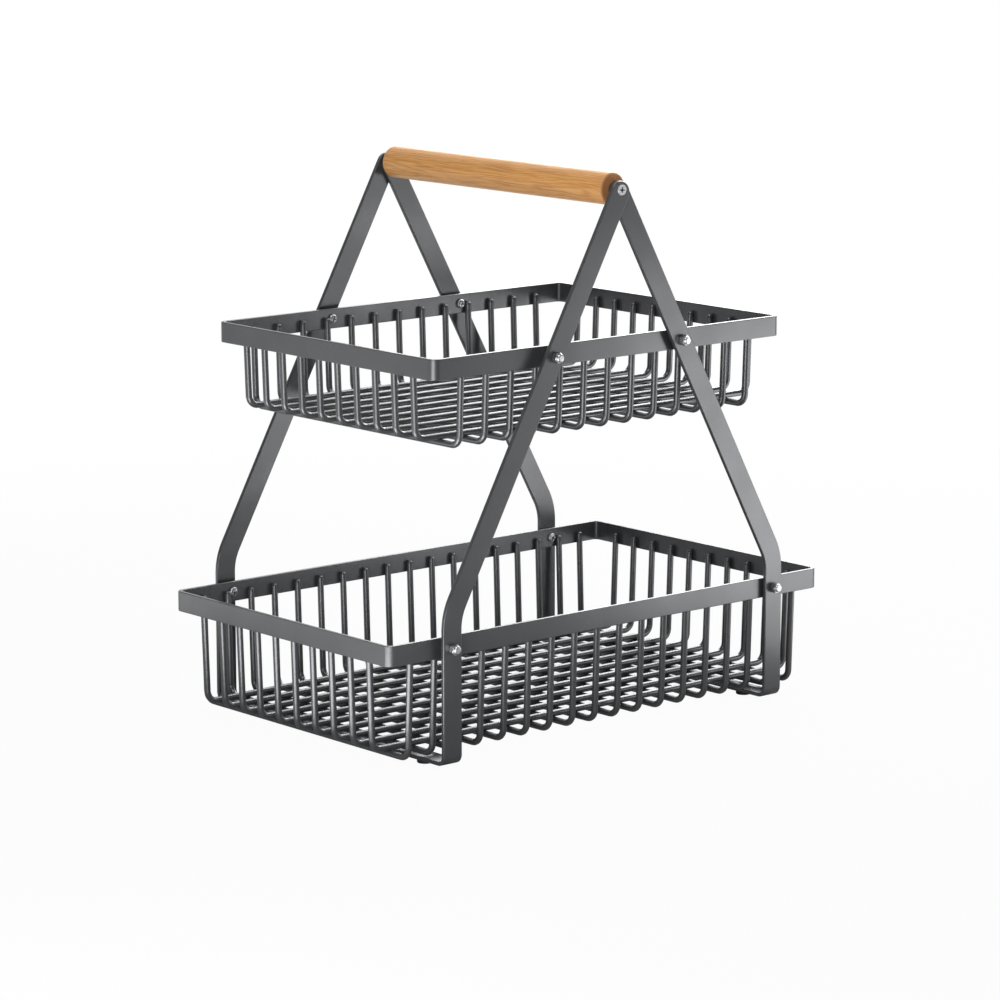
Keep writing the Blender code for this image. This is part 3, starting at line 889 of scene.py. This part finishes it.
class STAND_OT_long_wires(bpy.types.Operator):
    """Bends the wires along the baskets"""
    bl_idname = "stand.make_long_wires"
    bl_label = "Long Wires"

    def execute(self, context):
        scene = context.scene
        wire = scene.stand_wire
        for tier, margin in ((LOWER, wire.lower_margin), (UPPER, wire.upper_margin)):
            floor = tier.cross_floor + wire.diameter - wire.weld_depth
            wall = wall_line(tier.half_length, scene)
            pattern = bent_wire("long_wire_pattern", wall, tier.tip_level - floor, wire)
            reach = tier.half_depth - scene.stand_bar.rim_thickness - margin
            pitch = 2 * reach / (wire.long_count - 1)
            for index in range(wire.long_count):
                place = Matrix.Translation((0, index * pitch - reach, floor))
                set_copy(pattern, f"{tier.name}_wire_along_{index + 1:02d}", place,
                         "graphite_coat", f"{tier.name}_rim")
            discard(pattern)
        return {"FINISHED"}


# Strip loops

KNEE_STEPS = 14
GROUND_STEPS = 8
EYE_STEPS = 20             # round the strip's end at the grip
LOOSE_MERGE = 10 * MERGE   # for verts that a bend has carried round
COUNTERSINK_POINT = 0.01   # of the screw head's radius
SPACER_EDGE = 1 / 5        # of the spacer's length


def strip_loop(name, face_y, bar):
    """The outer face of the +X loop: across the ground, up each leg and inwards to the grip.

    The near half is made, then mirrored.
    """
    half = bar.strip_width / 2
    stance = LOOP_REACH - half
    slope = math.atan2(UPPER.screw_x, GRIP_AXIS.z - UPPER.screw_level)
    knee_level = GRIP_AXIS.z - stance / math.tan(slope)
    bend_y = face_y - bar.ground_radius
    bend_top = STRIP_UNDERSIDE + bar.ground_radius
    knee_start = knee_level - bar.knee_radius * math.tan(slope / 2)
    piece = square(name)
    put(piece, Matrix.Translation((stance, -bend_y / 2, STRIP_UNDERSIDE))
        @ Matrix.Diagonal((half, bend_y / 2, 1, 1)))
    edit(piece)
    choose(piece, "edges",
           lambda edge: all(abs(vert.co.y + bend_y) < MERGE for vert in edge.verts))
    swing((stance, -bend_y, bend_top), (1, 0, 0), -QUARTER, GROUND_STEPS)
    push((0, 0, knee_start - bend_top))
    swing((stance - bar.knee_radius, -face_y, knee_start), (0, 1, 0), -slope, KNEE_STEPS)
    leg = Vector((-math.sin(slope), 0, math.cos(slope)))
    knee_end = knee_start + bar.knee_radius * math.sin(slope)
    push(leg * (LOOP_TOP - half - knee_end) / math.cos(slope))
    bpy.ops.mesh.subdivide(number_cuts=1)
    across = Vector((math.cos(slope), 0, math.sin(slope)))
    bm = bmesh.from_edit_mesh(piece.data)
    ends = [vert for vert in bm.verts if vert.select]
    centre = sum((vert.co for vert in ends), Vector()) / len(ends)
    choose(piece, "edges", lambda edge: all(
        abs((vert.co - centre).dot(leg)) < MERGE and (vert.co - centre).dot(across) > -MERGE
        and (vert.co - centre).length < half + MERGE for vert in edge.verts))
    swing(centre, (0, 1, 0), -HALF, EYE_STEPS)
    bpy.ops.mesh.select_all(action="SELECT")
    bpy.ops.mesh.remove_doubles(threshold=LOOSE_MERGE)
    settle()
    apply_modifier(piece, "MIRROR", use_axis=(False, True, False), merge_threshold=LOOSE_MERGE,
                   use_mirror_merge=True)
    edit(piece)
    face_outwards()
    return piece


def spacer(name, place, diameter, depth, bore):
    """A turned bush that carries a loop off its seat."""
    edge = depth * SPACER_EDGE
    piece = rounded_bar(name, 0, depth, diameter / 2, edge, edge, PIN_SIDES)
    cut(piece, pins([Matrix.Translation((0, 0, -depth))], bore, 3 * depth))
    return put(piece, place)


class STAND_OT_loops(bpy.types.Operator):
    """Bends the two strip loops"""
    bl_idname = "stand.make_loops"
    bl_label = "Strip Loops"

    def execute(self, context):
        scene = context.scene
        bar = scene.stand_bar
        screws = scene.stand_fasteners
        for name, side in SIDES:
            face_y = LOOP_FACE[name]
            piece = strip_loop(f"{name}_strip_loop", face_y, bar)
            if side < 0:
                edit(piece)
                bpy.ops.transform.mirror(constraint_axis=(True, False, False),
                                         center_override=(0, 0, 0))
                bpy.ops.mesh.flip_normals()
                settle()
            apply_modifier(piece, "SOLIDIFY", thickness=bar.strip_thickness, offset=-1.0)
            tidy_faces(piece)
            round_edges(piece, bar.edge_round)
            self.drill(piece, side, face_y, bar, screws)
            tidy_faces(piece)
            finish_piece(piece, "graphite_coat", f"{name}_loop")
        return {"FINISHED"}

    def drill(self, piece, side, face_y, bar, screws):
        """Holes for the screws, countersunk in the outer loop."""
        start = face_y + bar.strip_thickness
        places = [facing(side * tier.screw_x, end * start, tier.screw_level, -end)
                  for tier in TIERS for _, end in ENDS]
        cut(piece, pins(places, screws.screw_shank + 2 * screws.slack, 3 * bar.strip_thickness))
        places = [facing(GRIP_AXIS.x, end * start, GRIP_AXIS.z, -end) for _, end in ENDS]
        cut(piece, pins(places, screws.wood_shank + 2 * screws.slack, 3 * bar.strip_thickness))
        if side > 0:
            return
        head = screws.wood_head / 2 + screws.slack
        for _, end in ENDS:
            cone = turned("countersink", [(-head, 2 * head), (head, COUNTERSINK_POINT * head)],
                          PIN_SIDES)
            cut(piece, put(cone, facing(GRIP_AXIS.x, end * face_y, GRIP_AXIS.z, -end)))


class STAND_OT_spacers(bpy.types.Operator):
    """Turns the spacers"""
    bl_idname = "stand.make_spacers"
    bl_label = "Spacers"

    def execute(self, context):
        scene = context.scene
        bar = scene.stand_bar
        screws = scene.stand_fasteners
        for name, side in SIDES:
            back = LOOP_FACE[name] - bar.strip_thickness
            seats = [(tier.name, side * tier.screw_x, tier.half_depth, tier.screw_level,
                      bar.spacer_diameter, screws.screw_shank) for tier in TIERS]
            if side > 0:
                seats.append(("grip", GRIP_AXIS.x, GRIP_HALF, GRIP_AXIS.z, bar.grip_spacer_diameter,
                              screws.wood_shank))
            for carrier, x, start, z, diameter, bore in seats:
                for end_name, end in ENDS:
                    piece = spacer(f"{name}_{carrier}_spacer_{end_name}",
                                   facing(x, end * start, z, end), diameter, back - start,
                                   bore + 2 * screws.slack)
                    tidy_faces(piece)
                    finish_piece(piece, "graphite_coat", f"{name}_loop")
        return {"FINISHED"}


# Grip

GRIP_SIDES = 96


class STAND_OT_grip(bpy.types.Operator):
    """Turns the wooden grip"""
    bl_idname = "stand.make_grip"
    bl_label = "Grip"

    def execute(self, context):
        scene = context.scene
        grip = scene.stand_grip
        screws = scene.stand_fasteners
        piece = rounded_bar("turned_grip", -GRIP_HALF, GRIP_HALF, grip.diameter / 2,
                            grip.end_round, grip.end_round, GRIP_SIDES)
        put(piece, facing(*GRIP_AXIS, 1))
        start = 2 * GRIP_HALF
        places = [facing(GRIP_AXIS.x, end * start, GRIP_AXIS.z, -end) for _, end in ENDS]
        point = LOOP_FACE["left"] - screws.wood_length
        cut(piece, pins(places, screws.wood_shank, start - point))
        tidy_faces(piece)
        finish_piece(piece, "oiled_wood", "wooden_grip")
        return {"FINISHED"}


# Screws and cap nuts

HEAD_SIDES = 48
CROWN_STEPS = 6
NUT_SIDES = 6
NUT_DOME_STEPS = 6
RECESS_TAPER = 0.55      # a cross slot's size at its floor, of 1 at the head's face
WOOD_HEAD_RIM = 1 / 14   # of the wood screw head's radius
WOOD_POINT = 1 / 8       # of the wood screw's shank
CROWN_WALL = 0.45        # the pan head's upright part, of its height
CROWN_FLAT = 0.42        # the pan head's flat top, of its radius
PAN_EDGE = 1 / 12        # of the pan head's height
NUT_FACE = 0.96          # the nut's round faces, of its flats
NUT_STOCK = 1.02         # what its chamfers are turned from, of its corners
SCREW_TURNS = {"near": math.radians(4.0), "far": math.radians(31.0)}
NUT_TURNS = {("lower", "left"): math.radians(12.0), ("lower", "right"): math.radians(34.0),
             ("upper", "left"): math.radians(21.0), ("upper", "right"): math.radians(5.0)}


def cut_cross(piece, level, screws):
    """Cuts a tapered cross recess into the end face at a level, towards +Z."""
    size = Matrix.Diagonal((2 * screws.recess_reach, screws.recess_width,
                            2 * screws.recess_depth, 1))
    for turn in (0, QUARTER):
        settle()
        bpy.ops.mesh.primitive_cube_add(size=1, location=(0, 0, 0))
        place = Matrix.Translation((0, 0, level)) @ Matrix.Rotation(turn, 4, "Z")
        cutter = put(named("recess"), place @ size)
        edit(cutter)
        choose(cutter, "faces", lambda face: face.normal.z > 0.9)
        shrink(RECESS_TAPER, (0, 0, level + screws.recess_depth))
        settle()
        cut(piece, cutter)


def wood_screw(name, screws):
    """Countersunk screw: face at the origin, point along +Z."""
    head = screws.wood_head / 2
    shank = screws.wood_shank / 2
    rim = head * WOOD_HEAD_RIM
    profile = [(0, head - rim), (rim, head), (2 * rim, head), (head - shank + rim, shank),
               (screws.wood_length - screws.wood_point, shank),
               (screws.wood_length, shank * WOOD_POINT)]
    piece = turned(name, profile, HEAD_SIDES)
    cut_cross(piece, 0, screws)
    tidy_faces(piece)
    return piece


def rim_screw(name, reach, screws):
    """Pan-head screw: head on the -Z side of the origin, shank along +Z."""
    head = screws.pan_head / 2
    shank = screws.screw_shank / 2
    crown = []
    for step in range(CROWN_STEPS):
        angle = QUARTER * step / CROWN_STEPS
        crown.append((-screws.pan_height * (CROWN_WALL + (1 - CROWN_WALL) * math.cos(angle)),
                      head * (CROWN_FLAT + (1 - CROWN_FLAT) * math.sin(angle))))
    edge = screws.pan_height * PAN_EDGE
    profile = crown + [(-edge, head), (0, head - edge), (0, shank), (reach, shank)]
    piece = turned(name, profile, HEAD_SIDES)
    cut_cross(piece, -screws.pan_height, screws)
    tidy_faces(piece)
    return piece


def cap_nut(name, screws):
    """Domed hexagon nut: seat at the origin, dome towards +Z."""
    corner = screws.nut_flats / 2 / math.cos(HALF / NUT_SIDES)
    face = screws.nut_flats / 2 * NUT_FACE
    stock = corner * NUT_STOCK
    top = screws.nut_hex_height
    chamfer = screws.nut_chamfer
    piece = turned(name, [(0, corner), (top, corner)], NUT_SIDES)
    collar = turned("chamfers", [(-top, corner), (0, face), (chamfer / 2, stock),
                                 (top - chamfer, stock), (top, face), (top + chamfer, face)],
                    2 * HEAD_SIDES)
    combine(piece, "INTERSECT", collar)
    dome = screws.nut_dome / 2
    end = screws.nut_end / 2
    rise = screws.nut_height - top
    steps = [(top + rise * math.sin(angle), end + (dome - end) * math.cos(angle))
             for angle in (QUARTER * step / NUT_DOME_STEPS for step in range(NUT_DOME_STEPS + 1))]
    cap = turned("dome", [(top / 2, dome)] + steps, HEAD_SIDES)
    combine(piece, "UNION", cap)
    start = Matrix.Translation((0, 0, -screws.bore_depth))
    cut(piece, pins([start], screws.screw_shank + 2 * screws.slack, 2 * screws.bore_depth))
    tidy_faces(piece)
    return piece


class STAND_OT_fasteners(bpy.types.Operator):
    """Makes the screws and the cap nuts"""
    bl_idname = "stand.make_fasteners"
    bl_label = "Screws and Nuts"

    def execute(self, context):
        screws = context.scene.stand_fasteners
        self.fasten_grip(screws)
        nut = cap_nut("cap_nut_pattern", screws)
        for tier in TIERS:
            seat = tier.half_depth - context.scene.stand_bar.rim_thickness
            for side_name, side in SIDES:
                self.fasten_rim(tier, seat, side_name, side, nut, screws)
        discard(nut)
        return {"FINISHED"}

    def fasten_grip(self, screws):
        """A screw through both loops into each end of the grip."""
        pattern = wood_screw("wood_screw_pattern", screws)
        for end_name, end in ENDS:
            place = facing(GRIP_AXIS.x, end * LOOP_FACE["left"], GRIP_AXIS.z, -end,
                           SCREW_TURNS[end_name])
            set_copy(pattern, f"countersunk_screw_{end_name}", place, "bright_zinc",
                     f"grip_screw_{end_name}")
        discard(pattern)

    def fasten_rim(self, tier, seat, side_name, side, nut, screws):
        """A screw from inside the rim and its nut on the loop, near and far."""
        reach = NUT_SEAT[side_name] + screws.bore_depth - screws.slack - seat
        pattern = rim_screw("rim_screw_pattern", reach, screws)
        x, z = side * tier.screw_x, tier.screw_level
        for end_name, end in ENDS:
            where = f"{tier.name}_{side_name}_{end_name}"
            turn = NUT_TURNS[(tier.name, side_name)] * end
            set_copy(pattern, f"pan_head_screw_{where}", facing(x, end * seat, z, end, turn),
                     "bright_zinc", f"rim_screw_{where}")
            place = facing(x, end * NUT_SEAT[side_name], z, end, turn)
            set_copy(nut, f"domed_nut_{where}", place, "bright_zinc", f"cap_nut_{where}")
        discard(pattern)


# Feet

TOP_ROUND = 1 / 3   # of the lower edge's rounding
DIMPLE = 1 / 4      # of the foot's height


class STAND_OT_feet(bpy.types.Operator):
    """Moulds the rubber feet"""
    bl_idname = "stand.make_feet"
    bl_label = "Feet"

    def execute(self, context):
        screws = context.scene.stand_fasteners
        pattern = rounded_bar("foot_pattern", 0, FOOT_HEIGHT, screws.foot_diameter / 2,
                              screws.foot_round, screws.foot_round * TOP_ROUND, HEAD_SIDES)
        hollow = screws.foot_dimple / 2
        profile = [(-FOOT_HEIGHT, hollow), (FOOT_HEIGHT * DIMPLE, hollow)]
        dimple = turned("dimple", profile, HEAD_SIDES)
        cut(pattern, dimple)
        tidy_faces(pattern)
        for side_name, _ in SIDES:
            for end_name, _ in ENDS:
                node = f"foot_{side_name}_{end_name}"
                spot = middle(node)
                place = Matrix.Translation((spot.x, spot.y, 0))
                set_copy(pattern, f"rubber_{node}", place, "dark_rubber", node)
        discard(pattern)
        return {"FINISHED"}


# Panel, classes and run

class STAND_PT_panel(bpy.types.Panel):
    """Lists the stage and the pieces"""
    bl_idname = "STAND_PT_panel"
    bl_label = "Basket Stand"
    bl_space_type = "VIEW_3D"
    bl_region_type = "UI"
    bl_category = "Basket Stand"

    def draw(self, context):
        for kind in OPERATORS:
            self.layout.operator(kind.bl_idname, text=kind.bl_label)


OPERATORS = (STAND_OT_stage, STAND_OT_rims, STAND_OT_cross_wires, STAND_OT_long_wires,
             STAND_OT_loops, STAND_OT_spacers, STAND_OT_grip, STAND_OT_fasteners, STAND_OT_feet)


def register():
    for name, group in GROUPS:
        bpy.utils.register_class(group)
        setattr(bpy.types.Scene, name, bpy.props.PointerProperty(type=group))
    for kind in (*OPERATORS, STAND_PT_panel):
        bpy.utils.register_class(kind)


def unregister():
    for kind in reversed((*OPERATORS, STAND_PT_panel)):
        bpy.utils.unregister_class(kind)
    for name, group in reversed(GROUPS):
        delattr(bpy.types.Scene, name)
        bpy.utils.unregister_class(group)


def main():
    """Makes the stage and the pieces."""
    register()
    bpy.ops.stand.set_stage()
    bpy.ops.stand.make_rims()
    bpy.ops.stand.make_cross_wires()
    bpy.ops.stand.make_long_wires()
    bpy.ops.stand.make_loops()
    bpy.ops.stand.make_spacers()
    bpy.ops.stand.make_grip()
    bpy.ops.stand.make_fasteners()
    bpy.ops.stand.make_feet()


if __name__ == "__main__":
    main()
